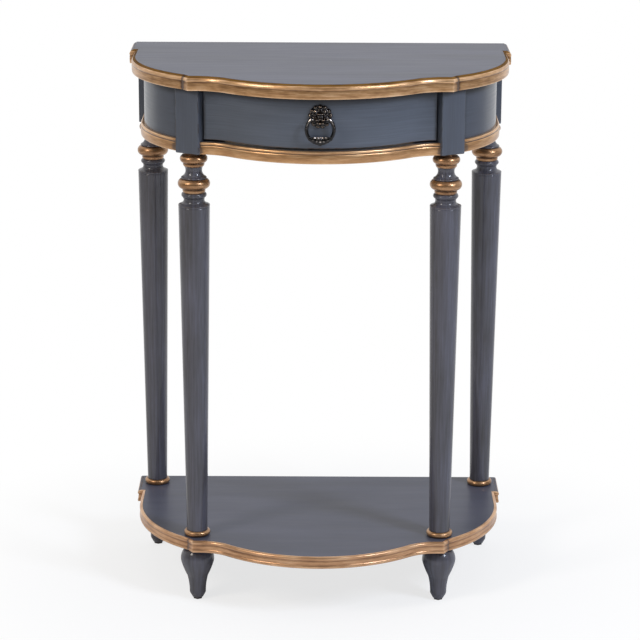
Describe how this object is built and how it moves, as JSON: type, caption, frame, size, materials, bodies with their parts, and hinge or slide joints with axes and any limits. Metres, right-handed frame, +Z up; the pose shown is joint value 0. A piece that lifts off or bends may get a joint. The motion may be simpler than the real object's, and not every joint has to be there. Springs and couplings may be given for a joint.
{
  "type": "demilune table",
  "caption": "Half-round console table with serpentine front, blue painted body, gilt mouldings, turned legs, lower shelf and a drawer with a lion-mask ring pull.",
  "frame": {"origin": "on the floor, midway between the sides and midway between the back edge and the middle of the bowed front", "axes": "+X to the right seen from the front, +Y to the straight back edge, +Z up; the drawer opens towards -Y"},
  "size_m": [0.602, 0.374, 0.845],
  "materials": {
    "blue_painted_wood": "glossy lacquer over slate-blue paint",
    "gilt_wood": "satin antique gold paint with a dark glaze",
    "bare_wood": "planed, unfinished",
    "plywood": "thin sealed plywood",
    "antique_bronze": "cast, dark patina with rubbed highlights",
    "zinc_steel": "zinc plated",
    "nylon": "matte"
  },
  "bodies": {
    "table": {"apron_tenons": "bare_wood", "back_cleat": "bare_wood", "back_rail": "blue_painted_wood", "foot_glides": "nylon", "front_base_moulding": "gilt_wood", "front_rail": "blue_painted_wood", "front_shelf_moulding": "gilt_wood", "front_top_moulding": "gilt_wood", "left_cleat": "bare_wood", "left_drawer_stop": "bare_wood", "left_front_foot": "blue_painted_wood", "left_front_leg": "blue_painted_wood", "left_guide": "bare_wood", "left_kicker": "bare_wood", "left_rear_foot": "blue_painted_wood", "left_rear_leg": "blue_painted_wood", "left_runner": "bare_wood", "left_shelf_moulding": "gilt_wood", "left_side_apron": "blue_painted_wood", "left_side_base_moulding": "gilt_wood", "left_top_moulding": "gilt_wood", "leg_studs": "zinc_steel", "rail_tenons": "bare_wood", "right_cleat": "bare_wood", "right_drawer_stop": "bare_wood", "right_front_foot": "blue_painted_wood", "right_front_leg": "blue_painted_wood", "right_guide": "bare_wood", "right_kicker": "bare_wood", "right_rear_foot": "blue_painted_wood", "right_rear_leg": "blue_painted_wood", "right_runner": "bare_wood", "right_shelf_moulding": "gilt_wood", "right_side_apron": "blue_painted_wood", "right_side_base_moulding": "gilt_wood", "right_top_moulding": "gilt_wood", "shelf_panel": "blue_painted_wood", "top_panel": "blue_painted_wood", "top_screws": "zinc_steel"},
    "drawer": {"drawer_front": "blue_painted_wood", "left_drawer_side": "bare_wood", "right_drawer_side": "bare_wood", "drawer_back": "bare_wood", "drawer_bottom": "plywood", "pull_mask": "antique_bronze", "pull_bolt": "zinc_steel"},
    "pull_ring": {"pull_ring": "antique_bronze"}
  },
  "joints": [
    {"name": "drawer_slide", "type": "slide", "parent": "table", "child": "drawer", "axis": [0, -1, 0], "range_m": [0, 0.15]},
    {"name": "pull_ring_hinge", "type": "hinge", "parent": "drawer", "child": "pull_ring", "pos_m": [0, -0.1772, 0.792], "axis": [-1, 0, 0], "range_deg": [0, 90]}
  ]
}
